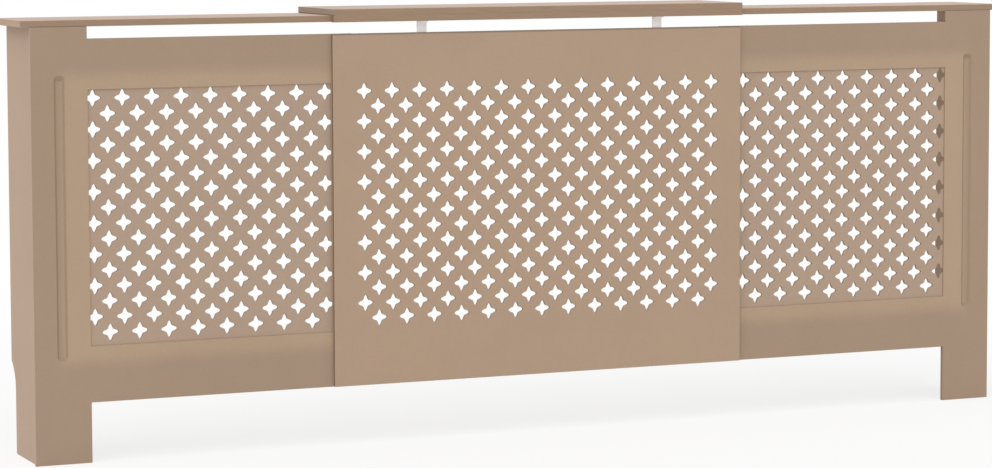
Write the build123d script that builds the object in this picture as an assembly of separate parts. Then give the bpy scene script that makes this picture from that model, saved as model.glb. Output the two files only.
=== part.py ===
from build123d import *
import os
from math import cos, pi, sin

# Extendable radiator cover in raw MDF, drawn out to its full width.
# Millimetres, +Z up. The room side faces -Y and the wall is at +Y.
# The origin is on the floor, midway across the width and the depth.
# The right wing (+X) is modelled, and the left wing is its mirror image.

# Whole cover
cover_depth = 194.0          # from the lip's front edge to the wall
ground_gap = 110.6           # floor to the underside of the rails and the centre panel
vent_slot = 22.0             # gap between the fronts and the shelves
shelf_board = 12.0
slide_clearance = 0.5        # between faces that slide past each other

# Star fretwork
star_pitch_x = 28.0          # from one column of stars to the next
star_pitch_z = 28.5          # from one half row to the next
star_rows = 16               # half rows, every second one used in each column
star_tip = 15.0              # star centre to tip
star_waist = 8.0             # star centre to inner corner
centre_columns = 27
wing_columns = 17

# Centre unit
centre_board = 6.0
centre_side_margin = 63.3    # last column of stars to the panel's edge
panel_setback = 8.0          # lip's front edge to the panel's face
lip_depth = 14.0

# Wing front frame
front_board = 8.0
lattice_recess = 2.0         # frame's face to the lattice
rebate_width = 10.0          # how far the lattice runs behind the frame
sheet_clearance = 0.3        # round the lattice's edges in its rebate
stile_width = 44.0
stile_reveal = 1.7           # centre panel's edge to the stile's outer edge, drawn out
star_gap_side = 10.15        # first column of stars to the opening's edge
star_gap_top = 15.8          # top half row to the top rail
star_gap_bottom = 23.7       # bottom half row to the bottom rail
bottom_rail_height = 103.2
top_rail_height = 92.1
pilaster_width = 105.7
tenon_length = 8.0
tenon_thick = 3.0
tenon_shoulder = 12.0        # rail's edge, or its rebate, to the tenon
joint_clearance = 0.1        # all round a tenon in its mortise

# Groove down the face of each pilaster
groove_width = 20.0
groove_depth = 3.0
groove_corner = 6.0          # corner radius seen from the front
groove_slope = 52.0          # degrees that the groove's sides lean from square
groove_foot = 190.0          # floor to the groove's lower end
groove_length = 521.0

# End panel, its battens and the wing shelf
end_board = 12.0
end_inset = 5.0              # pilaster's outer edge to the end panel
shelf_overhang = 17.5        # wing shelf beyond the pilaster
notch_depth = 27.5           # cut-out for the skirting board
notch_straight = 121.0       # height of its upright edge
notch_rise = 50.0            # height of the curve above that edge
batten = 18.0
batten_lift = 6.0            # floor to the corner batten
cleat_stop = 34.0            # wall to the end of the shelf cleat

# Guides behind the wing frames
guide_board = 9.0
guide_height = 60.0
guide_inset = 12.0           # centre panel's upper and lower edges to the guides
guide_end = 7.0              # centre panel's side edge to the guides' ends
spacer_width = 60.0

# Steel brackets
bracket_width = 19.5
bracket_steel = 2.0
bracket_bend = 1.5           # inner radius of the bend
bracket_offset = 246.4       # middle of the cover to each bracket
bracket_leg = 62.0
bracket_toe = 1.5            # lip's front edge to the bracket's tab
wall_leg = 30.0              # each leg of a wall bracket
wall_leg_height = 20.0
wall_leg_steel = 2.0
wall_hole = 2.5              # its radius
wall_hole_reach = 16.0       # end panel to the hole
wall_hole_drop = 57.0        # shelf cleat to the upper hole
wall_hole_rise = 16.0        # top of the skirting cut-out to the lower hole

# Heights
opening_low = ground_gap + bottom_rail_height
last_row = opening_low + star_gap_bottom
first_row = last_row + (star_rows - 1) * star_pitch_z
opening_high = first_row + star_gap_top
front_top = opening_high + top_rail_height
shelf_low = front_top + vent_slot
tab_top = shelf_low - slide_clearance
shelf_mid = shelf_low + shelf_board
cover_height = shelf_mid + shelf_board
notch_top = notch_straight + notch_rise
upper_hole = shelf_low - batten - wall_hole_drop
lower_hole = notch_top + wall_hole_rise

# Distances from the middle of the cover to each side
centre_half = (centre_columns - 1) / 2 * star_pitch_x + centre_side_margin
stile_out = centre_half + stile_reveal
stile_in = stile_out - stile_width
first_column = stile_out + star_gap_side
opening_out = first_column + (wing_columns - 1) * star_pitch_x + star_gap_side
pilaster_out = opening_out + pilaster_width
end_out = pilaster_out - end_inset
end_in = end_out - end_board
shelf_out = pilaster_out + shelf_overhang

# Depths
wall = cover_depth / 2
lip_face = -cover_depth / 2
lip_back = lip_face + lip_depth
wing_shelf_face = lip_back + slide_clearance
panel_face = lip_face + panel_setback
panel_back = panel_face + centre_board
frame_face = panel_back + slide_clearance
frame_back = frame_face + front_board
lattice_face = frame_face + lattice_recess
guide_face = frame_back + slide_clearance


def board(x, y, z):
    """Rectangular board, from three (low, high) pairs."""
    size = [high - low for low, high in (x, y, z)]
    middle = [(high + low) / 2 for low, high in (x, y, z)]
    return Pos(*middle) * Box(*size)


def star_corners(x, z, y):
    """Corners of one four-pointed star, tips and waist in turn."""
    corners = []
    for step in range(8):
        reach = star_waist if step % 2 else star_tip
        angle = step * pi / 4
        corners.append((x + reach * cos(angle), y, z + reach * sin(angle)))
    return corners


def star_holes(column_low, columns, y):
    """Outlines of a field of stars, every second column half a row lower."""
    outlines = []
    for column in range(columns):
        x = column_low + column * star_pitch_x
        for row in range(column % 2, star_rows, 2):
            z = first_row - row * star_pitch_z
            outlines.append(Wire.make_polygon(star_corners(x, z, y), close=True))
    return outlines


def fretwork(x, y, z, column_low, columns):
    """Board pierced with stars, extruded from its pierced front face."""
    rim = [(x[0], y[0], z[0]), (x[1], y[0], z[0]), (x[1], y[0], z[1]), (x[0], y[0], z[1])]
    face = Face(Wire.make_polygon(rim, close=True), star_holes(column_low, columns, y[0]))
    return extrude(face, y[1] - y[0], dir=(0, 1, 0))


def bracket(x):
    """Bent strap: leg let into the panel's back, tab forward under the lip."""
    tab_front = lip_face + bracket_toe
    leg_foot = tab_top - bracket_leg
    outline = Polyline(
        (panel_back, leg_foot),
        (panel_back, tab_top),
        (tab_front, tab_top),
        (tab_front, tab_top - bracket_steel),
        (panel_back - bracket_steel, tab_top - bracket_steel),
        (panel_back - bracket_steel, leg_foot),
        close=True,
    )
    profile = make_face(Plane.YZ * outline)
    strap = Pos(x - bracket_width / 2, 0, 0) * extrude(profile, bracket_width, dir=(1, 0, 0))
    inside = (x, panel_back - bracket_steel, tab_top - bracket_steel)
    outside = (x, panel_back, tab_top)
    for corner, radius in ((inside, bracket_bend), (outside, bracket_bend + bracket_steel)):
        edge = strap.edges().filter_by(Axis.X).sort_by_distance(corner)[0]
        strap = fillet(edge, radius)
    return strap


def centre_panel():
    """Front board of the centre unit, with seats for the two brackets in its back."""
    x = (-centre_half, centre_half)
    z = (ground_gap, front_top)
    column_low = -(centre_columns - 1) / 2 * star_pitch_x
    panel = fretwork(x, (panel_face, panel_back), z, column_low, centre_columns)
    half = bracket_width / 2 + joint_clearance
    seat_low = tab_top - bracket_leg - joint_clearance
    for side in (-bracket_offset, bracket_offset):
        seat_y = (panel_back - bracket_steel, panel_back)
        panel -= board((side - half, side + half), seat_y, (seat_low, front_top))
    return panel


def centre_shelf():
    return board((-centre_half, centre_half), (lip_face, wall), (shelf_mid, cover_height))


def centre_lip():
    """Strip under the centre shelf's front edge, a hair below the wing shelves."""
    return board((-centre_half, centre_half), (lip_face, lip_back), (tab_top, shelf_mid))


def guide(low):
    """Batten behind the wing frames, from its lower edge up."""
    half = centre_half - guide_end
    return board((-half, half), (guide_face, guide_face + guide_board), (low, low + guide_height))


def guide_spacer(low):
    """Block between the centre panel and a guide."""
    half = spacer_width / 2
    return board((-half, half), (panel_back, guide_face), (low, low + guide_height))


def mortise(x, z):
    """Slot in the edge of an upright for the tenon that spans z."""
    middle = (frame_face + frame_back) / 2
    half = tenon_thick / 2 + joint_clearance
    z_cut = (z[0] - joint_clearance, z[1] + joint_clearance)
    return board(x, (middle - half, middle + half), z_cut)


def tenon_spans():
    """Lower and upper edges of the bottom rail's tenons and the top rail's."""
    bottom = (ground_gap + tenon_shoulder, opening_low - rebate_width - tenon_shoulder)
    top = (opening_high + rebate_width + tenon_shoulder, front_top - tenon_shoulder)
    return [bottom, top]


def lattice_rebate():
    """Space behind the frame that takes the lattice sheet."""
    x = (stile_out - rebate_width, opening_out + rebate_width)
    z = (opening_low - rebate_width, opening_high + rebate_width)
    return board(x, (lattice_face, frame_back), z)


def rail(z, tenon_z):
    """Rail with a stub tenon at each end and the lattice rebate in its back."""
    body = board((stile_out, opening_out), (frame_face, frame_back), z)
    middle = (frame_face + frame_back) / 2
    tenon_y = (middle - tenon_thick / 2, middle + tenon_thick / 2)
    tenons = board((stile_out - tenon_length, opening_out + tenon_length), tenon_y, tenon_z)
    return body + tenons - lattice_rebate()


def stile():
    """Inner upright of the wing frame, always behind the centre panel."""
    upright = board((stile_in, stile_out), (frame_face, frame_back), (ground_gap, front_top))
    for span in tenon_spans():
        upright -= mortise((stile_out - tenon_length - joint_clearance, stile_out), span)
    return upright - lattice_rebate()


def groove():
    """Shallow groove with sloping sides and rounded corners."""
    centre_x = (opening_out + pilaster_out) / 2
    centre_z = groove_foot + groove_length / 2
    face = Plane((centre_x, frame_face, centre_z), x_dir=(1, 0, 0), z_dir=(0, 1, 0))
    mouth = face * RectangleRounded(groove_width, groove_length, groove_corner)
    return extrude(mouth, groove_depth, taper=groove_slope)


def pilaster():
    """Front post that runs down to the floor as the leg and up to the shelf."""
    post = board((opening_out, pilaster_out), (frame_face, frame_back), (0, shelf_low))
    for span in tenon_spans():
        post -= mortise((opening_out, opening_out + tenon_length + joint_clearance), span)
    return post - lattice_rebate() - groove()


def lattice():
    """Pierced sheet in the frame's rebate."""
    gap = rebate_width - sheet_clearance
    x = (stile_out - gap, opening_out + gap)
    z = (opening_low - gap, opening_high + gap)
    return fretwork(x, (lattice_face, frame_back), z, first_column, wing_columns)


def end_panel():
    """End board, notched at the wall for a skirting board."""
    radius = (notch_depth ** 2 + notch_rise ** 2) / (2 * notch_depth)
    notch_front = wall - notch_depth
    middle = radius - (radius ** 2 - (notch_rise / 2) ** 2) ** 0.5
    edge = Polyline(
        (notch_front, notch_straight),
        (notch_front, 0),
        (frame_back, 0),
        (frame_back, shelf_low),
        (wall, shelf_low),
        (wall, notch_top),
    )
    halfway = (notch_front + middle, notch_straight + notch_rise / 2)
    curve = ThreePointArc((wall, notch_top), halfway, (notch_front, notch_straight))
    profile = make_face(Plane.YZ * (edge + curve))
    return Pos(end_in, 0, 0) * extrude(profile, end_board, dir=(1, 0, 0))


def wing_shelf():
    return board((stile_in, shelf_out), (wing_shelf_face, wall), (shelf_low, shelf_mid))


def corner_batten():
    x = (end_in - batten, end_in)
    return board(x, (frame_back, frame_back + batten), (batten_lift, shelf_low))


def shelf_cleat():
    y = (frame_back + batten, wall - cleat_stop)
    return board((end_in - batten, end_in), y, (shelf_low - batten, shelf_low))


def wall_bracket(z):
    """Steel angle on the end panel's inner face, with a hole towards the wall."""
    height = (z - wall_leg_height / 2, z + wall_leg_height / 2)
    side = board((end_in - wall_leg_steel, end_in), (wall - wall_leg, wall), height)
    back = board((end_in - wall_leg, end_in), (wall - wall_leg_steel, wall), height)
    hole_place = Location((end_in - wall_hole_reach, wall - wall_leg_steel / 2, z), (90, 0, 0))
    return side + back - hole_place * Cylinder(wall_hole, 2 * wall_leg_steel)


def wall_brackets():
    return Compound([wall_bracket(lower_hole), wall_bracket(upper_hole)])


def wing():
    """The right wing's pieces by name."""
    bottom_tenon, top_tenon = tenon_spans()
    return {
        "pilaster": pilaster(),
        "top_rail": rail((opening_high, front_top), top_tenon),
        "bottom_rail": rail((ground_gap, opening_low), bottom_tenon),
        "stile": stile(),
        "lattice": lattice(),
        "end_panel": end_panel(),
        "shelf": wing_shelf(),
        "corner_batten": corner_batten(),
        "shelf_cleat": shelf_cleat(),
        "wall_brackets": wall_brackets(),
    }


def centre():
    """The centre unit's pieces by name."""
    lower_guide = ground_gap + guide_inset
    upper_guide = front_top - guide_inset - guide_height
    return {
        "centre_panel": centre_panel(),
        "centre_shelf": centre_shelf(),
        "centre_lip": centre_lip(),
        "bracket_left": bracket(-bracket_offset),
        "bracket_right": bracket(bracket_offset),
        "upper_guide": guide(upper_guide),
        "lower_guide": guide(lower_guide),
        "upper_spacer": guide_spacer(upper_guide),
        "lower_spacer": guide_spacer(lower_guide),
    }


pieces = centre()
for name, piece in wing().items():
    pieces["right_" + name] = piece
    pieces["left_" + name] = mirror(piece, about=Plane.YZ)

os.makedirs("parts", exist_ok=True)
for name, piece in pieces.items():
    export_step(piece, f"parts/{name}.step")

print(f"{len(pieces)} pieces, {2 * shelf_out:.1f} x {cover_depth:.1f} x {cover_height:.1f} mm")
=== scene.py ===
# Extendable radiator cover in raw MDF: a centre unit over two wings that slide behind and under it.
# Metres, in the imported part's frame: the room is at -Y, the wall at +Y and the floor at Z = 0.
from math import pi, radians, tan

import bpy
from mathutils import Matrix, Vector


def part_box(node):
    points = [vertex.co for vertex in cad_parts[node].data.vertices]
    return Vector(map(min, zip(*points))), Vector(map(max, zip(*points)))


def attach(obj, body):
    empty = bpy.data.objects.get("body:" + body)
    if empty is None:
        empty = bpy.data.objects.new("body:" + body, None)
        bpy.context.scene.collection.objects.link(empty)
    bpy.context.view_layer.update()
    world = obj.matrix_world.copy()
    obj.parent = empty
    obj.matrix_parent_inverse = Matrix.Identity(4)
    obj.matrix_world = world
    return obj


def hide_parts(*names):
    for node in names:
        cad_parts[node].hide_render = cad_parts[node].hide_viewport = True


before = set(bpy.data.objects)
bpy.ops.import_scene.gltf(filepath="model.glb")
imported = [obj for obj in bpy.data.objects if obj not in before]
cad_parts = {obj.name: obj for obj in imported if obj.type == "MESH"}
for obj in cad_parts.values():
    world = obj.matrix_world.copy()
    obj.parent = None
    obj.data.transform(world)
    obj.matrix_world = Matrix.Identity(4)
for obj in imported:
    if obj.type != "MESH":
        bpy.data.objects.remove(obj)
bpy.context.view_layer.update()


# View: a studio shot from the left of square on and a little above the shelf, through a long lens.
# The lens is shifted slightly, as a photographer would to keep the uprights of the cover upright.
camera_place = Vector((-2.5346, -5.7237, 1.0066))
turned_right = radians(23.393)
tipped_down = radians(4.727)
rolled = radians(-0.193)

camera_data = bpy.data.cameras.new("camera")
camera_data.sensor_width = 36.0
camera_data.lens = 117.27
camera_data.shift_y = -0.06
camera = bpy.data.objects.new("camera", camera_data)
camera.matrix_world = (
    Matrix.Translation(camera_place)
    @ Matrix.Rotation(-turned_right, 4, "Z")
    @ Matrix.Rotation(pi / 2 - tipped_down, 4, "X")
    @ Matrix.Rotation(rolled, 4, "Z")
)
bpy.context.scene.collection.objects.link(camera)
bpy.context.scene.camera = camera


# Studio: a pale floor and a pale surround, with one very wide soft light high on the left.
# The surround lights every side evenly, and the light makes the ends and the shelf tops a little lighter.
surround_level = 0.67
light_level = 1.7
light_spread = radians(70)
light_from = Vector((-0.45, -0.33, 0.83))
floor_side = 60.0
shadow_share = 0.25          # how much of the floor's own light and shade shows beside the cover
shadow_reach = 1.3           # from the middle of the floor to where that starts to fade
shadow_end = 3.0             # and to where the floor is plain white


def colour(code):
    """Linear colour of an sRGB hex code."""
    channels = [int(code[start:start + 2], 16) / 255 for start in (0, 2, 4)]
    linear = [c / 12.92 if c <= 0.04045 else ((c + 0.055) / 1.055) ** 2.4 for c in channels]
    return (*linear, 1.0)


def add_node(tree, kind, settings=(), links=()):
    """Adds a node. Settings are its inputs' values or its properties, and links feed its inputs."""
    node = tree.nodes.new(kind)
    for name, value in dict(settings).items():
        if isinstance(name, int) or name in node.inputs:
            node.inputs[name].default_value = value
        else:
            setattr(node, name, value)
    for name, socket in dict(links).items():
        tree.links.new(socket, node.inputs[name])
    return node


def seen_directly(tree):
    """1 for what the camera sees itself, mirrored or through glass, and 0 for what lights the cover."""
    path = add_node(tree, "ShaderNodeLightPath")
    either = add_node(tree, "ShaderNodeMath", {"operation": "MAXIMUM"},
                      {0: path.outputs["Is Camera Ray"], 1: path.outputs["Is Glossy Ray"]})
    return add_node(tree, "ShaderNodeMath", {"operation": "MAXIMUM"},
                    {0: either.outputs[0], 1: path.outputs["Is Transmission Ray"]}).outputs[0]


bpy.context.scene.view_settings.view_transform = "Standard"
surround = bpy.data.worlds.new("pale surround")
surround.use_nodes = True
bpy.context.scene.world = surround
background = surround.node_tree.nodes["Background"]
background.inputs["Color"].default_value = (1.0, 1.0, 1.0, 1.0)
level = add_node(surround.node_tree, "ShaderNodeMapRange", {"To Min": surround_level, "To Max": 1.0},
                 {"Value": seen_directly(surround.node_tree)})
surround.node_tree.links.new(level.outputs[0], background.inputs["Strength"])

light_data = bpy.data.lights.new("wide soft light", "SUN")
light_data.energy = light_level
light_data.angle = light_spread
light = bpy.data.objects.new("wide soft light", light_data)
light.matrix_world = (-light_from).to_track_quat("-Z", "Y").to_matrix().to_4x4()
bpy.context.scene.collection.objects.link(light)

bpy.ops.object.select_all(action="DESELECT")
bpy.ops.mesh.primitive_plane_add(size=floor_side)
floor = bpy.context.active_object
floor.name = "studio_floor"
floor_paint = bpy.data.materials.new("matt white studio paint")
floor_paint.use_nodes = True
paint_tree = floor_paint.node_tree
painted = paint_tree.nodes["Principled BSDF"]
painted.inputs["Base Color"].default_value = colour("e7e7e7")
painted.inputs["Roughness"].default_value = 0.9
own_white = add_node(paint_tree, "ShaderNodeEmission", {"Color": (1.0, 1.0, 1.0, 1.0), "Strength": 1.0})
floor_place = add_node(paint_tree, "ShaderNodeTexCoord").outputs["Object"]
from_middle = add_node(paint_tree, "ShaderNodeVectorMath", {"operation": "LENGTH"}, {0: floor_place})
white_share = add_node(paint_tree, "ShaderNodeMapRange",
                       {"From Min": shadow_reach, "From Max": shadow_end,
                        "To Min": 1 - shadow_share, "To Max": 1.0}, {"Value": from_middle.outputs["Value"]})
share = add_node(paint_tree, "ShaderNodeMath", {"operation": "MULTIPLY"},
                 {0: seen_directly(paint_tree), 1: white_share.outputs[0]})
floor_look = add_node(paint_tree, "ShaderNodeMixShader", (),
                      {0: share.outputs[0], 1: painted.outputs[0], 2: own_white.outputs[0]})
paint_tree.links.new(floor_look.outputs[0], paint_tree.nodes["Material Output"].inputs["Surface"])
floor.data.materials.append(floor_paint)


# Centre panel: one 6 mm sheet of raw MDF, pierced with 27 columns of eight four-pointed stars.
# They are routed through, so their corners are round, their rims worn and their walls darker than the
# sanded face. The panel's top edge is rounder too, and darker with painted shade from the shelf above.
mm = 0.001
star_pitch_x = 28.0 * mm
star_pitch_z = 28.5 * mm          # half the distance between stars of one column
stars_in_column = 8
top_row_drop = 107.9 * mm         # panel's top edge to the first row of stars
star_reach = 21.3 * mm            # centre to where a tip's sides would meet, well past the round tip
star_waist = 7.95 * mm            # centre to an inner corner
star_tip_round = 10.6 * mm        # how far a tip's rounding runs down its sides
star_waist_round = 1.8 * mm
star_rim = 0.5 * mm               # depth of the worn rim
star_rim_share = 1.04             # how much wider the star is at the face than below the rim
cutter_overrun = 1.0 * mm
centre_columns = 27
eased = 0.4 * mm                  # sanded corners of sheets and boards
face_share = 0.6                  # how squarely a facet looks outwards to count as face and not as edge
panel_top_round = 3.2 * mm        # the panel's front top edge
bracket_steel = 2.0 * mm
bracket_seat_gap = 0.1 * mm
same_place = 0.01 * mm            # points closer than this count as one
sharp_edge = radians(40)          # edges sharper than this are eased

sanded_roughness = 0.62
cut_roughness = 0.8
cloud_size = 160 * mm             # soft patches from sanding and from the glue in the board
fleck_size = 5.0 * mm             # real flecks are about 2 mm, drawn coarser so that they show
fuzz_size = 1.5 * mm              # real fibres are under 1 mm, drawn coarser so that they show
layer_thickness = 0.8 * mm        # pressed layers along a cut edge, drawn coarser than they are
layer_length = 40 * mm
fleck_share = 0.45                # flecks against clouds
mdf_contrast = 0.05
layer_contrast = 0.1
sanded_fuzz = (0.12, 0.1 * mm)    # strength and height of the fibres on a sanded face
cut_fuzz = (0.3, 0.2 * mm)        # and on a cut edge


def shaded(code, share):
    """Linear colour of a hex code, made darker or lighter by a factor."""
    red, green, blue, alpha = colour(code)
    return (red * share, green * share, blue * share, alpha)


def new_material(name, roughness):
    """Material with a node tree. Returns it, its tree and its surface shader."""
    material = bpy.data.materials.new(name)
    material.use_nodes = True
    shader = material.node_tree.nodes["Principled BSDF"]
    shader.inputs["Roughness"].default_value = roughness
    return material, material.node_tree, shader


def mottling(tree, place, size, detail=3.0, stretch=(1, 1, 1)):
    """Uneven mottling of a real size, stretched where asked, that spreads over 0 to 1."""
    scaled = add_node(tree, "ShaderNodeMapping", {"Scale": [1 / (size * s) for s in stretch]},
                      {"Vector": place})
    pattern = add_node(tree, "ShaderNodeTexNoise", {"Scale": 1.0, "Detail": detail, "Roughness": 0.6},
                       {"Vector": scaled.outputs[0]})
    return add_node(tree, "ShaderNodeMapRange", {"From Min": 0.3, "From Max": 0.7},
                    {"Value": pattern.outputs["Fac"]}).outputs[0]


def add_tone(tree, shader, code, shares, pattern):
    """Colours the surface between two shades of one colour, as the pattern goes from 0 to 1."""
    tone = add_node(tree, "ShaderNodeMix",
                    {"data_type": "RGBA", 6: shaded(code, shares[0]), 7: shaded(code, shares[1])},
                    {0: pattern})
    tree.links.new(tone.outputs[2], shader.inputs["Base Color"])


def add_relief(tree, shader, pattern, strength, height):
    """Raises the surface a little where the pattern is high."""
    bump = add_node(tree, "ShaderNodeBump", {"Strength": strength, "Distance": height}, {"Height": pattern})
    tree.links.new(bump.outputs[0], shader.inputs["Normal"])


def sanded_surface(name):
    """Sanded MDF before it is coloured. Its pattern is of soft clouds with small fibre flecks in them."""
    material, tree, shader = new_material(name, sanded_roughness)
    place = add_node(tree, "ShaderNodeTexCoord").outputs["Object"]
    flecks = mottling(tree, place, fleck_size, detail=5.0)
    pattern = add_node(tree, "ShaderNodeMix", {0: fleck_share},
                       {2: mottling(tree, place, cloud_size), 3: flecks}).outputs[0]
    add_relief(tree, shader, mottling(tree, place, fuzz_size), *sanded_fuzz)
    return material, tree, shader, place, pattern


def sanded_mdf(name, code):
    """Raw MDF as the factory sands it: matt, and even but for its clouds and flecks."""
    material, tree, shader, _, pattern = sanded_surface(name)
    add_tone(tree, shader, code, (1 - mdf_contrast, 1 + mdf_contrast), pattern)
    return material


def cut_mdf(name, code, across):
    """Sawn or routed edge of MDF: rougher than a face, with its pressed layers along it."""
    material, tree, shader = new_material(name, cut_roughness)
    place = add_node(tree, "ShaderNodeTexCoord").outputs["Object"]
    stretch = [layer_thickness / layer_length if axis == across else 1 for axis in "XYZ"]
    layers = mottling(tree, place, layer_length, detail=4.0, stretch=stretch)
    add_tone(tree, shader, code, (1 - layer_contrast, 1 + layer_contrast), layers)
    add_relief(tree, shader, mottling(tree, place, fuzz_size), *cut_fuzz)
    return material


def apply_modifier(piece, kind, settings):
    """Adds a modifier to the piece and makes it part of the mesh."""
    bpy.context.view_layer.objects.active = piece
    modifier = piece.modifiers.new(kind.lower(), kind)
    for name, value in settings.items():
        setattr(modifier, name, value)
    bpy.ops.object.modifier_apply(modifier=modifier.name)


def add_board(name, low, high):
    """Square-edged board between two corners, with its place in its mesh."""
    low, high = Vector(low), Vector(high)
    bpy.ops.object.select_all(action="DESELECT")
    bpy.ops.mesh.primitive_cube_add(size=1, location=(low + high) / 2)
    piece = bpy.context.active_object
    piece.name = piece.data.name = name
    piece.scale = high - low
    bpy.ops.object.transform_apply(location=True, rotation=True, scale=True)
    return piece


def ease_edges(piece, width=eased):
    """Rounds the sharp edges a little, as sanding does."""
    apply_modifier(piece, "BEVEL", {"width": width, "segments": 2, "limit_method": "ANGLE",
                                    "angle_limit": sharp_edge})


def cut_away(piece, cutter):
    """Takes the cutter's shape out of the piece and deletes the cutter."""
    apply_modifier(piece, "BOOLEAN", {"operation": "DIFFERENCE", "solver": "EXACT", "object": cutter})
    bpy.data.objects.remove(cutter)


def select_points(piece, test):
    """Opens the piece for editing with only the points that pass the test selected."""
    bpy.ops.object.select_all(action="DESELECT")
    bpy.context.view_layer.objects.active = piece
    bpy.ops.object.mode_set(mode="EDIT")
    bpy.ops.mesh.select_mode(type="VERT")
    bpy.ops.mesh.select_all(action="DESELECT")
    bpy.ops.object.mode_set(mode="OBJECT")
    for vertex in piece.data.vertices:
        vertex.select = test(vertex.co)
    bpy.ops.object.mode_set(mode="EDIT")


def select_edges(piece, test):
    """Opens the piece for editing with only the edges whose two ends pass the test selected."""
    select_points(piece, lambda co: False)
    bpy.ops.mesh.select_mode(type="EDGE")
    bpy.ops.object.mode_set(mode="OBJECT")
    for edge in piece.data.edges:
        edge.select = all(test(piece.data.vertices[end].co) for end in edge.vertices)
    bpy.ops.object.mode_set(mode="EDIT")


def near(value, target):
    """Whether two distances are the same."""
    return abs(value - target) < same_place


def round_edges(piece, on_edge, radius, steps):
    """Rounds the edges whose two ends pass the test."""
    select_edges(piece, on_edge)
    bpy.ops.mesh.bevel(offset=radius, segments=steps, affect="EDGES")
    bpy.ops.object.mode_set(mode="OBJECT")


def star_cutter(x, z, face, back):
    """Four-pointed prism through a sheet, wider in front for the worn rim.

    Four corners of an octagon are drawn in to make the waist, and the other four stay as tips.
    """
    front_share = 1 + (star_rim_share - 1) * (star_rim + cutter_overrun) / star_rim
    bpy.ops.object.select_all(action="DESELECT")
    bpy.ops.mesh.primitive_circle_add(vertices=8, radius=star_reach, fill_type="NGON")
    cutter = bpy.context.active_object
    inward = star_waist / star_reach
    select_points(cutter, lambda co: near(abs(co.x), abs(co.y)))
    bpy.ops.transform.resize(value=(inward, inward, 1), center_override=(0, 0, 0))
    bpy.ops.mesh.bevel(offset=star_waist_round, segments=2, affect="VERTICES")
    bpy.ops.object.mode_set(mode="OBJECT")
    select_points(cutter, lambda co: near(co.length, star_reach))
    bpy.ops.mesh.bevel(offset=star_tip_round, segments=4, affect="VERTICES")
    bpy.ops.mesh.select_all(action="SELECT")
    bpy.ops.transform.rotate(value=pi / 2, orient_axis="X", center_override=(0, 0, 0))
    bpy.ops.transform.translate(value=(x, face + star_rim, z))
    bpy.ops.mesh.extrude_region_move(
        TRANSFORM_OT_translate={"value": (0, back + cutter_overrun - face - star_rim, 0)})
    bpy.ops.object.mode_set(mode="OBJECT")
    select_points(cutter, lambda co: co.y < face + 2 * star_rim)
    bpy.ops.mesh.extrude_region_move(TRANSFORM_OT_translate={"value": (0, -cutter_overrun - star_rim, 0)})
    bpy.ops.transform.resize(value=(front_share, 1, front_share), center_override=(x, 0, z))
    bpy.ops.mesh.select_all(action="SELECT")
    bpy.ops.mesh.normals_make_consistent(inside=False)
    bpy.ops.object.mode_set(mode="OBJECT")
    return cutter


def pierced_sheet(name, low, high, first_x, columns, top_round=None):
    """Sheet with its field of stars, every second column half a row lower."""
    sheet = add_board(name, low, high)
    if top_round:
        round_edges(sheet, lambda co: near(co.y, low.y) and near(co.z, high.z), top_round, steps=3)
    ease_edges(sheet)
    for lowered in (0, 1):
        cutter = star_cutter(first_x + lowered * star_pitch_x, first_star_z - lowered * star_pitch_z,
                             low.y, high.y)
        steps = [((columns + 1 - lowered) // 2, (2 * star_pitch_x, 0, 0)),
                 (stars_in_column, (0, 0, -2 * star_pitch_z))]
        for count, step in steps:
            apply_modifier(cutter, "ARRAY", {"count": count, "use_relative_offset": False,
                                             "use_constant_offset": True, "constant_offset_displace": step})
        cut_away(sheet, cutter)
    return sheet


def finish_board(piece, across, face_finish, edge_finish):
    """Puts the sanded finish on the two broad faces and the cut-edge finish on all the others."""
    piece.data.materials.append(face_finish)
    piece.data.materials.append(edge_finish)
    axis = "XYZ".index(across)
    for polygon in piece.data.polygons:
        polygon.material_index = 0 if abs(polygon.normal[axis]) > face_share else 1


def add_finish(piece, finish, test):
    """Puts one more finish on the facets that pass the test."""
    piece.data.materials.append(finish)
    for polygon in piece.data.polygons:
        if test(polygon):
            polygon.material_index = len(piece.data.materials) - 1


def finish_sheet(sheet, face_finish, wall_finish, edge_finish):
    """Finishes a pierced sheet: its faces, its own sawn edges and, inside them, the walls of its stars."""
    low, high = Vector(sheet.bound_box[0]), Vector(sheet.bound_box[6])

    def is_star_wall(facet):
        x, _, z = facet.center
        to_nearest_edge = min(x - low.x, high.x - x, z - low.z, high.z - z)
        return abs(facet.normal.y) <= face_share and to_nearest_edge > 2 * eased

    finish_board(sheet, "Y", face_finish, edge_finish)
    add_finish(sheet, wall_finish, is_star_wall)


def fit(piece, body, slot, *nodes):
    """Makes the piece ride on its body and stand for its solids, which it hides. The slot is not used."""
    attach(piece, body)
    if nodes:
        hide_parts(*nodes)


panel_low, panel_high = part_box("centre_panel")
first_star_z = panel_high.z - top_row_drop
centre_sheet = pierced_sheet("centre_front_sheet", panel_low, panel_high,
                             -(centre_columns - 1) / 2 * star_pitch_x, centre_columns, panel_top_round)
seat_gap = Vector((bracket_seat_gap, 0, bracket_seat_gap))
for side in ("left", "right"):
    leg_low, leg_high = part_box("bracket_" + side)
    seat_low = Vector((leg_low.x, panel_high.y - bracket_steel, leg_low.z)) - seat_gap
    seat_high = Vector((leg_high.x, panel_high.y + cutter_overrun, leg_high.z)) + seat_gap
    cut_away(centre_sheet, add_board("seat_cutter", seat_low, seat_high))
centre_face = sanded_mdf("sanded MDF, centre panel", "b0957d")
star_wall = cut_mdf("routed MDF, walls of the stars", "a48c76", "Y")
# Painted shade: the panel's sawn side edges are coloured darker than the other sawn edges, for the shade
# along them.
panel_edge_painted_shade = cut_mdf("sawn MDF edge of the centre panel", "806a57", "Y")
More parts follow.
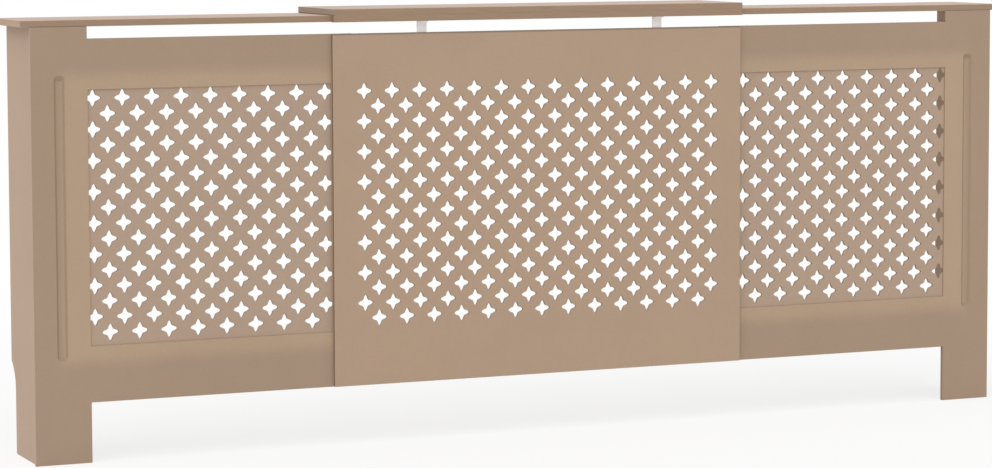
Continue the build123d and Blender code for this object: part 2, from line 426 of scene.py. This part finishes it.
# Painted shade: the top edge is coloured darker for the shadow that the shelf casts on it.
panel_top_painted_shade = cut_mdf("MDF with painted shade, top edge of the centre panel", "927f6c", "X")
finish_sheet(centre_sheet, centre_face, star_wall, panel_edge_painted_shade)
add_finish(centre_sheet, panel_top_painted_shade, lambda facet: facet.center.z > panel_high.z - panel_top_round)
fit(centre_sheet, "centre", "raw_mdf", "centre_panel")


# Centre shelf: a 12 mm MDF board with a lip of the same board glued under its front edge, which makes
# the edge look twice as thick and carries the shelf on its brackets. Sawn edges show the board's layers.
# Its lower end edges are rounded and carry painted shade: a dark line where it lies on the wing shelves.
shelf_end_round = 1.6 * mm
leaning_share = 0.2               # how far a facet of that rounding leans both outwards and down
shelf_face = sanded_mdf("sanded MDF, shelves", "b59f8f")
shelf_edge = cut_mdf("sawn MDF front edges of the shelves", "9d836c", "Z")
# Painted shade: the centre shelf's ends face the light as the wing shelves' ends do, but are coloured
# darker and greyer.
shelf_end_painted_shade = cut_mdf("sawn MDF ends of the centre shelf", "978777", "Z")
# The lip's ends are rough sawn and darker, and painted shade darkens them further where they meet the wing
# shelves.
lip_end_and_painted_shade = cut_mdf("rough sawn MDF ends of the lip, darkened with painted shade", "876b55", "Z")


def finish_shelf(board, end_finish):
    """Finishes a shelf board: its faces, its long edges and its ends."""
    finish_board(board, "Z", shelf_face, shelf_edge)
    add_finish(board, end_finish, lambda facet: abs(facet.normal.x) > face_share)


low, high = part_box("centre_shelf")
shelf_board = add_board("centre_shelf_board", low, high)
for end in (low.x, high.x):
    round_edges(shelf_board, lambda co: near(co.x, end) and near(co.z, low.z), shelf_end_round, steps=3)
lip_strip = add_board("centre_lip_strip", *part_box("centre_lip"))
for board, end_finish, node in ((shelf_board, shelf_end_painted_shade, "centre_shelf"),
                                (lip_strip, lip_end_and_painted_shade, "centre_lip")):
    ease_edges(board)
    finish_shelf(board, end_finish)
    fit(board, "centre", "raw_mdf", node)
# Painted shade: the leaning facets of the board's end rounding take the lip ends' dark colour, for the
# shadow line.
add_finish(shelf_board, lip_end_and_painted_shade,
           lambda facet: abs(facet.normal.x) > leaning_share and facet.normal.z < -leaning_share)


# Shelf brackets: two straps of 2 mm steel, bent at a right angle and powder-coated light grey.
# Each is let into the panel's back and screwed there, and its short tab is screwed up into the lip.
bracket_bend = 1.5 * mm
strap_corner = 3.0 * mm
steel_eased = 0.2 * mm
leg_screw_rises = (10 * mm, 30 * mm)
tab_screw_reach = 4.5 * mm
head_radius = 3.0 * mm            # countersunk screws of 3 mm
head_height = 1.6 * mm
shank_radius = 1.4 * mm
shank_length = 3.0 * mm
cross_length = 3.4 * mm
cross_width = 0.8 * mm
cross_depth = 1.0 * mm
square_on = 0.9                   # how squarely a face looks one way to be picked for extruding
bend_smooth = radians(35)         # edges flatter than this are shaded smooth
coat_ripple = 3.0 * mm            # real ripple in the coat is about 1 mm, drawn coarser so that it shows
coat_contrast = 0.02
zinc_patch = 6.0 * mm
zinc_shades = (0.92, 1.06)        # darkest and palest patch
zinc_roughness = (0.32, 0.48)     # and how rough they are


def powder_coat(name, code):
    """Powder-coated steel: an even satin colour with a faint ripple."""
    material, tree, shader = new_material(name, roughness=0.45)
    place = add_node(tree, "ShaderNodeTexCoord").outputs["Object"]
    ripple = mottling(tree, place, coat_ripple)
    add_tone(tree, shader, code, (1 - coat_contrast, 1 + coat_contrast), ripple)
    add_relief(tree, shader, ripple, strength=0.1, height=0.1 * mm)
    return material


def zinc_plate(name, code):
    """Zinc-plated steel: a grey metal whose shine changes a little from patch to patch."""
    material, tree, shader = new_material(name, roughness=sum(zinc_roughness) / 2)
    shader.inputs["Metallic"].default_value = 1.0
    place = add_node(tree, "ShaderNodeTexCoord").outputs["Object"]
    patches = mottling(tree, place, zinc_patch)
    add_tone(tree, shader, code, zinc_shades, patches)
    shine = add_node(tree, "ShaderNodeMapRange",
                     {"To Min": zinc_roughness[0], "To Max": zinc_roughness[1]}, {"Value": patches})
    tree.links.new(shine.outputs[0], shader.inputs["Roughness"])
    return material


def finish_all_over(piece, finish):
    """Gives the whole piece one finish."""
    piece.data.materials.clear()
    piece.data.materials.append(finish)


def select_only(piece):
    """Selects the piece alone and makes it the active one."""
    bpy.ops.object.select_all(action="DESELECT")
    piece.select_set(True)
    bpy.context.view_layer.objects.active = piece


def put(piece, turn, place):
    """Turns and moves the piece, and makes that part of its mesh."""
    select_only(piece)
    piece.rotation_euler = turn
    piece.location = place
    bpy.ops.object.transform_apply(location=True, rotation=True, scale=True)


def select_faces(piece, test):
    """Opens the piece for editing with only the faces that pass the test selected."""
    select_points(piece, lambda co: False)
    bpy.ops.mesh.select_mode(type="FACE")
    bpy.ops.object.mode_set(mode="OBJECT")
    for polygon in piece.data.polygons:
        polygon.select = test(polygon)
    bpy.ops.object.mode_set(mode="EDIT")


def join_pieces(name, pieces):
    """Makes one piece of several."""
    bpy.ops.object.select_all(action="DESELECT")
    for piece in pieces:
        piece.select_set(True)
    bpy.context.view_layer.objects.active = pieces[0]
    if len(pieces) > 1:
        bpy.ops.object.join()
    pieces[0].name = pieces[0].data.name = name
    return pieces[0]


def model_screw():
    """Countersunk screw with a cross recess. Its head is at the origin and looks up."""
    bpy.ops.object.select_all(action="DESELECT")
    bpy.ops.mesh.primitive_cone_add(vertices=24, radius1=shank_radius, radius2=head_radius,
                                    depth=head_height, location=(0, 0, -head_height / 2))
    screw = bpy.context.active_object
    bpy.ops.object.transform_apply(location=True, rotation=True, scale=True)
    select_faces(screw, lambda face: face.normal.z < -square_on)
    bpy.ops.mesh.extrude_region_move(TRANSFORM_OT_translate={"value": (0, 0, -shank_length)})
    bpy.ops.object.mode_set(mode="OBJECT")
    for long, wide in ((cross_length, cross_width), (cross_width, cross_length)):
        low = Vector((-long / 2, -wide / 2, -cross_depth))
        high = Vector((long / 2, wide / 2, cutter_overrun))
        cut_away(screw, add_board("recess_cutter", low, high))
    screw.data.materials.append(zinc)
    return screw


def add_screws(name, board, places, turn):
    """Sinks screws into the board, with their heads flush. The turn is from looking up."""
    flare = (head_radius - shank_radius) / head_height
    screws = []
    for place in places:
        bpy.ops.object.select_all(action="DESELECT")
        bpy.ops.mesh.primitive_cone_add(
            vertices=24, radius1=shank_radius, radius2=head_radius + flare * cutter_overrun,
            depth=head_height + cutter_overrun, location=(0, 0, (cutter_overrun - head_height) / 2))
        sink = bpy.context.active_object
        bpy.ops.object.transform_apply(location=True, rotation=True, scale=True)
        put(sink, turn, place)
        cut_away(board, sink)
        screw = master_screw.copy()
        screw.data = master_screw.data.copy()
        bpy.context.scene.collection.objects.link(screw)
        put(screw, turn, place)
        screws.append(screw)
    return join_pieces(name, screws)


def bend_out(strap, split, along, out, inner, outer):
    """Grows a flange outwards from the strap's end beyond the split, and rounds the bend."""
    split, along, out = Vector(split), Vector(along), Vector(out)
    select_points(strap, lambda co: True)
    bpy.ops.mesh.bisect(plane_co=split, plane_no=along)
    bpy.ops.object.mode_set(mode="OBJECT")
    select_faces(strap, lambda face: face.normal.dot(out.normalized()) > square_on
                 and (face.center - split).dot(along) > 0)
    bpy.ops.mesh.extrude_region_move(TRANSFORM_OT_translate={"value": out})
    bpy.ops.object.mode_set(mode="OBJECT")
    round_edges(strap, inner, bracket_bend, steps=6)
    round_edges(strap, outer, bracket_bend + bracket_steel, steps=6)


def smooth(piece):
    """Shades the bends smooth and leaves the sharper edges as they are."""
    select_only(piece)
    bpy.ops.object.shade_smooth_by_angle(angle=bend_smooth)


zinc = zinc_plate("zinc-plated steel", "b9bcbf")
grey_coat = powder_coat("light grey powder coat on steel", "ece8e3")
master_screw = model_screw()
look_back = (-pi / 2, 0, 0)       # turns a screw's head towards the wall
look_down = (pi, 0, 0)
for side in ("left", "right"):
    low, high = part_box("bracket_" + side)
    leg_face = high.y - bracket_steel
    tab_under = high.z - bracket_steel
    strap = add_board("shelf_bracket_" + side, (low.x, leg_face, low.z), high)
    bend_out(strap, (0, 0, tab_under), (0, 0, 1), (0, low.y - leg_face, 0),
             lambda co: near(co.y, leg_face) and near(co.z, tab_under),
             lambda co: near(co.y, high.y) and near(co.z, high.z))
    for edge in (low.x, high.x):
        round_edges(strap, lambda co: near(co.x, edge) and near(co.z, low.z), strap_corner, steps=5)
        round_edges(strap, lambda co: near(co.x, edge) and near(co.y, low.y), strap_corner, steps=5)
    ease_edges(strap, steel_eased)
    middle = (low.x + high.x) / 2
    leg_places = [(middle, high.y, low.z + rise) for rise in leg_screw_rises]
    tab_place = (middle, low.y + tab_screw_reach, tab_under)
    leg_screws = add_screws("bracket_leg_screws_" + side, strap, leg_places, look_back)
    tab_screw = add_screws("bracket_tab_screw_" + side, strap, [tab_place], look_down)
    finish_all_over(strap, grey_coat)
    smooth(strap)
    fit(strap, "centre", "painted_steel", "bracket_" + side)
    for screws in (leg_screws, tab_screw):
        fit(screws, "centre", "zinc_steel")


# Guide battens: two planed softwood battens behind the centre panel, each on a block of the same wood.
# The wing frames slide in the gap between the panel and the battens.
# The blocks are glued to the panel, and four countersunk screws hold each batten to its block.
batten_eased = 0.8 * mm
guide_screw_side = 18 * mm
guide_screw_rise = 16 * mm
ring_spacing = 3.5 * mm
wave_spacing = pi / 10            # between the bands of a wave texture whose scale is 1
grain_stretch = 25                # how much longer than wide the grain is
pine_tone = "c0a27a"
pine_shades = (1.06, 0.78)        # between the yearly rings and on them
fibre_share = 0.35                # fine fibres against yearly rings


def planed_softwood(name, along, rings_across):
    """Planed pine: pale, with darker yearly rings that run along the batten."""
    material, tree, shader = new_material(name, roughness=0.55)
    place = add_node(tree, "ShaderNodeTexCoord").outputs["Object"]
    stretch = [grain_stretch if axis == along else 1 for axis in "XYZ"]
    drawn = add_node(tree, "ShaderNodeMapping", {"Scale": [1 / s for s in stretch]}, {"Vector": place})
    rings = add_node(tree, "ShaderNodeTexWave",
                     {"bands_direction": rings_across, "Scale": wave_spacing / ring_spacing,
                      "Distortion": 3.0, "Detail": 2.0, "Detail Scale": 0.2},
                     {"Vector": drawn.outputs[0]})
    fibres = mottling(tree, place, fuzz_size, stretch=stretch)
    grain = add_node(tree, "ShaderNodeMix", {0: fibre_share}, {2: rings.outputs["Fac"], 3: fibres})
    add_tone(tree, shader, pine_tone, pine_shades, grain.outputs[0])
    add_relief(tree, shader, fibres, strength=0.2, height=0.1 * mm)
    return material


pine_along_x = planed_softwood("planed pine, grain across the cover", "X", "Z")
pine_along_y = planed_softwood("planed pine, grain towards the wall", "Y", "Z")
pine_along_z = planed_softwood("planed pine, grain upright", "Z", "X")
for part in ("upper", "lower"):
    low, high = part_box(part + "_guide")
    guide = add_board(part + "_guide_batten", low, high)
    ease_edges(guide, batten_eased)
    middle = (low + high) / 2
    places = [(middle.x + right * guide_screw_side, high.y, middle.z + up * guide_screw_rise)
              for right in (-1, 1) for up in (-1, 1)]
    screws = add_screws(part + "_guide_screws", guide, places, look_back)
    block = add_board(part + "_guide_block", *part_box(part + "_spacer"))
    ease_edges(block, batten_eased)
    for wood, node in ((guide, part + "_guide"), (block, part + "_spacer")):
        finish_all_over(wood, pine_along_x)
        fit(wood, "centre", "softwood", node)
    fit(screws, "centre", "zinc_steel")


# Rails: two 8 mm MDF boards across each wing, over and under its opening.
# A stub tenon at each end is glued into the uprights, and a rebate in the back takes the lattice.
# Each piece of the right wing is modelled, and its mirror image is the left wing's.
tenon_length = 8.0 * mm
tenon_thick = 3.0 * mm
tenon_shoulder = 12.0 * mm
joint_clearance = 0.1 * mm
rebate_width = 10.0 * mm
sheet_clearance = 0.3 * mm
frame_eased = 0.3 * mm            # outer corners only: the joints are sanded flush and don't show
painted_light_reach = 10 * mm             # painted light: the frame is coloured paler this far round the opening
painted_light_end = 46 * mm               # and that has faded out this far from it
side_share = 0.42                 # beside the opening, a distance counts for this share of itself
groove_side = 31.6 * mm           # or, where that is more, for what lies past this line
groove_fade = 1.6                 # times this, so that the painted light fades out across the groove
frame_face_tone = "a48c75"
frame_painted_light_tone = "b1977e"


def join_on(piece, other):
    """Makes the other piece part of this one."""
    apply_modifier(piece, "BOOLEAN", {"operation": "UNION", "solver": "EXACT", "object": other})
    bpy.data.objects.remove(other)


def mirrored(piece, name):
    """Mirror image of the piece for the other wing, with a mesh of its own."""
    select_only(piece)
    bpy.ops.object.duplicate()
    twin = bpy.context.active_object
    twin.name = twin.data.name = name
    bpy.ops.object.mode_set(mode="EDIT")
    bpy.ops.mesh.select_all(action="SELECT")
    bpy.ops.transform.resize(value=(-1, 1, 1), center_override=(0, 0, 0))
    bpy.ops.mesh.normals_make_consistent(inside=False)
    bpy.ops.object.mode_set(mode="OBJECT")
    return twin


def fit_pair(piece, name, slot, part=None):
    """Fits the piece to the right wing and its mirror image to the left wing."""
    piece.name = piece.data.name = "right_" + name
    pair = (("right", piece), ("left", mirrored(piece, "left_" + name)))
    for side, half in pair:
        fit(half, side + "_wing", slot, *([side + "_" + part] if part else []))


def frame_mdf_with_painted_light(name, code, painted_light_code, low, high):
    """Sanded MDF of the wing frames, coloured paler round the opening as painted light."""
    material, tree, shader, place, pattern = sanded_surface(name)
    axes = add_node(tree, "ShaderNodeSeparateXYZ", (), {0: place}).outputs
    side = add_node(tree, "ShaderNodeMath", {"operation": "ABSOLUTE"}, {0: axes["X"]}).outputs[0]
    outside = []
    for along, start, end in ((side, low.x, high.x), (axes["Z"], low.z, high.z)):
        from_middle = add_node(tree, "ShaderNodeMath", {"operation": "SUBTRACT", 1: (start + end) / 2},
                               {0: along})
        distance = add_node(tree, "ShaderNodeMath", {"operation": "ABSOLUTE"}, {0: from_middle.outputs[0]})
        outside.append(add_node(tree, "ShaderNodeMath", {"operation": "SUBTRACT", 1: (end - start) / 2},
                                {0: distance.outputs[0]}).outputs[0])
    slow = add_node(tree, "ShaderNodeMath", {"operation": "MULTIPLY", 1: side_share}, {0: outside[0]})
    quick = add_node(tree, "ShaderNodeMath",
                     {"operation": "MULTIPLY_ADD", 1: groove_fade, 2: -groove_fade * groove_side},
                     {0: outside[0]})
    beside = add_node(tree, "ShaderNodeMath", {"operation": "MAXIMUM"},
                      {0: slow.outputs[0], 1: quick.outputs[0]})
    farthest = add_node(tree, "ShaderNodeMath", {"operation": "MAXIMUM"},
                        {0: beside.outputs[0], 1: outside[1]})
    painted_light_share = add_node(tree, "ShaderNodeMapRange",
                     {"interpolation_type": "SMOOTHSTEP", "From Min": painted_light_reach, "From Max": painted_light_end,
                      "To Min": 1.0, "To Max": 0.0}, {"Value": farthest.outputs[0]})
    tones = []
    for share in (1 - mdf_contrast, 1 + mdf_contrast):
        tones.append(add_node(tree, "ShaderNodeMix",
                              {"data_type": "RGBA", 6: shaded(code, share), 7: shaded(painted_light_code, share)},
                              {0: painted_light_share.outputs[0]}).outputs[2])
    tone = add_node(tree, "ShaderNodeMix", {"data_type": "RGBA"}, {0: pattern, 6: tones[0], 7: tones[1]})
    tree.links.new(tone.outputs[2], shader.inputs["Base Color"])
    return material


lattice_low, lattice_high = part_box("right_lattice")
edge_gap = Vector((sheet_clearance, 0, sheet_clearance))
overlap = Vector((rebate_width - sheet_clearance, 0, rebate_width - sheet_clearance))
opening_low = lattice_low + overlap
opening_high = lattice_high - overlap
# Painted light: the frame faces are coloured paler round each opening.
frame_face = frame_mdf_with_painted_light("sanded MDF, wing frames", frame_face_tone, frame_painted_light_tone,
                              opening_low, opening_high)
tenon_spans = {}                  # each rail's tenons, from their foot to their top
rail_low, rail_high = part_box("right_top_rail")
frame_front = rail_low.y
frame_middle = (rail_low.y + rail_high.y) / 2


def cut_rebate(piece):
    """Cuts the seat of the lattice into the piece's back."""
    past_back = Vector((0, cutter_overrun, 0))
    cut_away(piece, add_board("rebate_cutter", lattice_low - edge_gap, lattice_high + edge_gap + past_back))


def finish_frame(piece):
    """Finishes a frame board: its face, its edges and its back, which was left as it came from the mill."""
    finish_board(piece, "Y", frame_face, front_edge)
    add_finish(piece, frame_back_finish, lambda facet: facet.normal.y > face_share)


front_edge = cut_mdf("sawn MDF edge of the wing frames", "937b66", "Y")
frame_back_finish = sanded_mdf("unsanded MDF, backs of the wing frames", "a08972")
for part in ("top_rail", "bottom_rail"):
    low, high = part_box("right_" + part)
    rail = add_board(part, (low.x + tenon_length, low.y, low.z), (high.x - tenon_length, high.y, high.z))
    for face in (low.y, high.y):
        for edge in (low.z, high.z):
            round_edges(rail, lambda co: near(co.y, face) and near(co.z, edge), frame_eased, steps=2)
    cut_rebate(rail)
    foot, top = (rebate_width, 0) if part == "top_rail" else (0, rebate_width)
    span = (low.z + foot + tenon_shoulder, high.z - top - tenon_shoulder)
    tenon_spans[part] = span
    tenon = add_board("tenon", (low.x, frame_middle - tenon_thick / 2, span[0]),
                      (high.x, frame_middle + tenon_thick / 2, span[1]))
    join_on(rail, tenon)
    finish_frame(rail)
    fit_pair(rail, part + "_board", "raw_mdf", part)


# Uprights: the inner stile, which stays behind the centre panel, and the pilaster, which is also the leg.
# Both are 8 mm MDF, mortised for the rails. The pilaster has a long shallow groove down its face.
# The groove was routed with a sloping cutter, so its ends are round and its sides lean.
groove_width = 20.0 * mm
groove_depth = 3.0 * mm
groove_corner = 6.0 * mm
groove_slope = radians(52.0)
groove_foot = 190.0 * mm
groove_length = 517.0 * mm
groove_top_run = 6.0 * mm         # the cutter was lowered into the board over this length
groove_foot_run = 1.5 * mm
groove_floor_share = 0.99         # the groove's floor looks straight out, and all the rest is wall
outer_edge_share = 0.3            # how far a facet leans outwards to be finished as the end panel is


def cut_mortises(piece, x_low, x_high):
    """Cuts a slot for each tenon between two distances from the middle."""
    half = tenon_thick / 2 + joint_clearance
    for foot, top in tenon_spans.values():
        cut_away(piece, add_board("mortise_cutter", (x_low, frame_middle - half, foot - joint_clearance),
                                  (x_high, frame_middle + half, top + joint_clearance)))


def groove_cutter(x, face):
    """Long rounded shape with leaning sides, for the groove."""
    middle = groove_foot + groove_length / 2
    bpy.ops.object.select_all(action="DESELECT")
    bpy.ops.mesh.primitive_plane_add(size=1, rotation=(-pi / 2, 0, 0), location=(x, face, middle))
    cutter = bpy.context.active_object
    cutter.scale = (groove_width, groove_length, 1)
    bpy.ops.object.transform_apply(location=True, rotation=True, scale=True)
    select_points(cutter, lambda co: True)
    bpy.ops.mesh.bevel(offset=groove_corner, segments=6, affect="VERTICES")
    bpy.ops.mesh.select_all(action="SELECT")
    bpy.ops.transform.translate(value=(0, -cutter_overrun, 0))
    bpy.ops.mesh.extrude_region_move(TRANSFORM_OT_translate={"value": (0, cutter_overrun, 0)})
    bpy.ops.mesh.inset(thickness=groove_depth * tan(groove_slope), depth=groove_depth)
    bpy.ops.object.mode_set(mode="OBJECT")
    for upper, run in ((True, -groove_top_run), (False, groove_foot_run)):
        select_points(cutter, lambda co: co.y > face + groove_depth / 2 and (co.z > middle) == upper)
        bpy.ops.transform.translate(value=(0, 0, run))
        bpy.ops.object.mode_set(mode="OBJECT")
    select_points(cutter, lambda co: True)
    bpy.ops.mesh.normals_make_consistent(inside=False)
    bpy.ops.object.mode_set(mode="OBJECT")
    return cutter


def is_groove_wall(facet):
    """Whether a facet of the pilaster is one of the groove's leaning walls."""
    x, y, z = facet.center
    in_groove = abs(x - groove_middle) < groove_width / 2 and y < frame_front + groove_depth and z > 0
    return in_groove and abs(facet.normal.y) < groove_floor_share


groove_wall = cut_mdf("routed MDF, walls of the groove", "9e8670", "Z")
end_face = sanded_mdf("sanded MDF, end panels", "af957f")
low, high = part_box("right_stile")
stile = add_board("stile", low, high)
round_edges(stile, lambda co: near(co.x, low.x) or near(co.z, low.z), frame_eased, steps=2)
cut_mortises(stile, high.x - tenon_length - joint_clearance, high.x + cutter_overrun)
cut_rebate(stile)
finish_frame(stile)
fit_pair(stile, "inner_stile", "raw_mdf", "stile")

low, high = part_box("right_pilaster")
groove_middle = (low.x + high.x) / 2
pilaster = add_board("pilaster", low, high)
round_edges(pilaster, lambda co: near(co.x, high.x) or near(co.z, low.z), frame_eased, steps=2)
cut_mortises(pilaster, low.x - cutter_overrun, low.x + tenon_length + joint_clearance)
cut_rebate(pilaster)
cut_away(pilaster, groove_cutter(groove_middle, low.y))
finish_frame(pilaster)
add_finish(pilaster, end_face, lambda facet: facet.normal.x > outer_edge_share)
add_finish(pilaster, groove_wall, is_groove_wall)
fit_pair(pilaster, "pilaster_board", "raw_mdf", "pilaster")


# Lattice: a 6 mm MDF sheet with 17 columns of eight stars, set in the rebate behind each wing's opening.
# It lies 2 mm behind the face of its frame, and the outermost stars' tips run a little behind the uprights.
star_gap_side = 10.15 * mm
wing_columns = 17
lattice_tone = sanded_mdf("sanded MDF, lattices", "af9782")
sheet = pierced_sheet("lattice", lattice_low, lattice_high, opening_low.x + star_gap_side, wing_columns)
finish_sheet(sheet, lattice_tone, star_wall, front_edge)
fit_pair(sheet, "lattice_sheet", "raw_mdf", "lattice")


# End panels: 12 mm MDF boards that run back to the wall, inset a little from the pilasters' edges.
# The lower back corner is cut out for a skirting board, with a curve above the upright cut.
notch_depth = 27.5 * mm
notch_straight = 121.0 * mm
notch_rise = 50.0 * mm
end_edge = cut_mdf("sawn MDF edge of the end panels", "8f7865", "X")
end_inside = sanded_mdf("unsanded MDF, inner side of the end panels", "a68b72")
low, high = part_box("right_end_panel")
end_panel = add_board("end_panel", low, high)
notch_front = high.y - notch_depth
notch_radius = (notch_depth ** 2 + notch_rise ** 2) / (2 * notch_depth)
cut_away(end_panel, add_board("notch_cutter", (low.x - cutter_overrun, notch_front, low.z - cutter_overrun),
                              (high.x + cutter_overrun, high.y + cutter_overrun, notch_straight)))
bpy.ops.object.select_all(action="DESELECT")
bpy.ops.mesh.primitive_cylinder_add(vertices=128, radius=notch_radius,
                                    depth=high.x - low.x + 2 * cutter_overrun, rotation=(0, pi / 2, 0),
                                    location=((low.x + high.x) / 2, notch_front + notch_radius,
                                              notch_straight))
curve_cutter = bpy.context.active_object
bpy.ops.object.transform_apply(location=True, rotation=True, scale=True)
cut_away(end_panel, curve_cutter)
ease_edges(end_panel)
finish_board(end_panel, "X", end_face, end_edge)
add_finish(end_panel, end_inside, lambda facet: facet.normal.x < -face_share)
fit_pair(end_panel, "end_board", "raw_mdf", "end_panel")


# Wing shelves: 12 mm MDF boards that overhang the ends and run in under the centre shelf.
# Their sanded tops match the centre shelf, and a rounder lower edge leaves a fine line over the frame.
# Their ends face the light and carry painted light: they are coloured paler than the front edges.
shelf_under_round = 2.2 * mm
# Painted light: the ends are coloured paler, for the light from the left that falls on them.
wing_end_painted_light = cut_mdf("sawn MDF ends of the wing shelves", "b0967f", "Z")
low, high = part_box("right_shelf")
wing_shelf = add_board("wing_shelf", low, high)
round_edges(wing_shelf, lambda co: near(co.y, low.y) and near(co.z, low.z), shelf_under_round, steps=3)
ease_edges(wing_shelf)
finish_shelf(wing_shelf, wing_end_painted_light)
fit_pair(wing_shelf, "wing_shelf_board", "raw_mdf", "shelf")


# Battens: 18 mm square pine, glued and screwed in the corner of pilaster and end panel and under the shelf.
# The screws go in from inside, so that the outer faces stay clean.
look_in = (0, -pi / 2, 0)         # turns a screw's head towards the middle of the cover
side_screw_shares = (0.08, 0.36, 0.64, 0.92)     # of the batten's length
back_screw_shares = (0.22, 0.5, 0.78)
cleat_screw_shares = (0.3, 0.7)
low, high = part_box("right_corner_batten")
corner_batten = add_board("corner_batten", low, high)
ease_edges(corner_batten, batten_eased)
middle = (low + high) / 2
side_places = [(low.x, middle.y, low.z + share * (high.z - low.z)) for share in side_screw_shares]
back_places = [(middle.x, high.y, low.z + share * (high.z - low.z)) for share in back_screw_shares]
side_screws = add_screws("side_screws", corner_batten, side_places, look_in)
back_screws = add_screws("back_screws", corner_batten, back_places, look_back)
corner_screws = join_pieces("corner_screws", [side_screws, back_screws])
low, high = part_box("right_shelf_cleat")
shelf_cleat = add_board("shelf_cleat", low, high)
ease_edges(shelf_cleat, batten_eased)
middle = (low + high) / 2
cleat_places = [(middle.x, low.y + share * (high.y - low.y), low.z) for share in cleat_screw_shares]
cleat_screws = add_screws("cleat_screws", shelf_cleat, cleat_places, look_down)
for wood, finish, name in ((corner_batten, pine_along_z, "corner_batten"),
                           (shelf_cleat, pine_along_y, "shelf_cleat")):
    finish_all_over(wood, finish)
    fit_pair(wood, name + "_wood", "softwood", name)
for screws, name in ((corner_screws, "corner_batten_screws"), (cleat_screws, "shelf_cleat_screws")):
    fit_pair(screws, name, "zinc_steel")


# Wall brackets: small angles of 2 mm zinc-plated steel, two a side, screwed inside the end panels.
# A hole in the leg that lies on the wall takes the screw that fixes the cover there.
wall_leg_height = 20.0 * mm
wall_hole = 2.5 * mm
wall_hole_reach = 16.0 * mm
leg_screw_reach = 10.0 * mm
both_low, both_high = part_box("right_wall_brackets")
angles = []
head_places = []
for height in (both_low.z + wall_leg_height / 2, both_high.z - wall_leg_height / 2):
    low = Vector((both_low.x, both_low.y, height - wall_leg_height / 2))
    high = Vector((both_high.x, both_high.y, height + wall_leg_height / 2))
    side_face = high.x - bracket_steel
    back_face = high.y - bracket_steel
    angle = add_board("angle", (side_face, low.y, low.z), high)
    bend_out(angle, (0, back_face, 0), (0, 1, 0), (low.x - side_face, 0, 0),
             lambda co: near(co.x, side_face) and near(co.y, back_face),
             lambda co: near(co.x, high.x) and near(co.y, high.y))
    for edge in (low.z, high.z):
        round_edges(angle, lambda co: near(co.z, edge) and near(co.y, low.y), strap_corner, steps=5)
        round_edges(angle, lambda co: near(co.z, edge) and near(co.x, low.x), strap_corner, steps=5)
    bpy.ops.object.select_all(action="DESELECT")
    bpy.ops.mesh.primitive_cylinder_add(vertices=24, radius=wall_hole, depth=4 * bracket_steel,
                                        rotation=(pi / 2, 0, 0),
                                        location=(high.x - wall_hole_reach, back_face, height))
    drill = bpy.context.active_object
    bpy.ops.object.transform_apply(location=True, rotation=True, scale=True)
    cut_away(angle, drill)
    ease_edges(angle, steel_eased)
    angles.append(angle)
    head_places.append((side_face, low.y + leg_screw_reach, height))
heads = [add_screws("heads", angle, [place], look_in) for angle, place in zip(angles, head_places)]
angle_pair = join_pieces("angle_pair", angles)
finish_all_over(angle_pair, zinc)
smooth(angle_pair)
fit_pair(angle_pair, "wall_angles", "zinc_steel", "wall_brackets")
fit_pair(join_pieces("angle_heads", heads), "wall_angle_screws", "zinc_steel")
bpy.data.objects.remove(master_screw)
